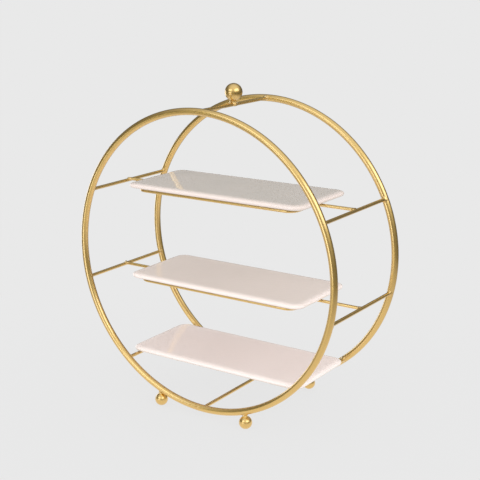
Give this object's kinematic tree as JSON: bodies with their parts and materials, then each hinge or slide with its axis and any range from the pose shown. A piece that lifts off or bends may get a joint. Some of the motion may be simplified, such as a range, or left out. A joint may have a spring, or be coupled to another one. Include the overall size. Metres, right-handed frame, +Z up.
{
  "type": "tiered cake stand",
  "caption": "Tiered cake stand: round gold hoops joined by thin rods on ball feet, topped by a ball finial, with loose flat glazed plates nested in wire rings.",
  "frame": {"origin": "on the floor, under the middle of the stand", "axes": "+X along the plates to the right as seen from the front, +Y to the rear, +Z up"},
  "size_m": [0.35, 0.153, 0.376],
  "materials": {
    "gold_metal": "satin",
    "plate_glaze": "gloss"
  },
  "bodies": {
    "stand": {"front_hoop": "gold_metal", "rear_hoop": "gold_metal", "top_rod": "gold_metal", "bottom_rod": "gold_metal", "upper_left_rod": "gold_metal", "upper_right_rod": "gold_metal", "middle_left_rod": "gold_metal", "middle_right_rod": "gold_metal", "lower_left_rod": "gold_metal", "lower_right_rod": "gold_metal", "upper_ring": "gold_metal", "middle_ring": "gold_metal", "upper_left_stub": "gold_metal", "upper_right_stub": "gold_metal", "middle_left_stub": "gold_metal", "middle_right_stub": "gold_metal", "front_left_foot": "gold_metal", "front_right_foot": "gold_metal", "rear_left_foot": "gold_metal", "rear_right_foot": "gold_metal", "finial": "gold_metal"},
    "upper_plate": {"upper_plate": "plate_glaze"},
    "middle_plate": {"middle_plate": "plate_glaze"},
    "lower_plate": {"lower_plate": "plate_glaze"}
  },
  "joints": [
    {"name": "upper_plate_lift", "type": "slide", "parent": "stand", "child": "upper_plate", "axis": [0, 0, 1], "range_m": [0, 0.08]},
    {"name": "middle_plate_lift", "type": "slide", "parent": "stand", "child": "middle_plate", "axis": [0, 0, 1], "range_m": [0, 0.08]},
    {"name": "lower_plate_lift", "type": "slide", "parent": "stand", "child": "lower_plate", "axis": [0, 0, 1], "range_m": [0, 0.08]}
  ]
}
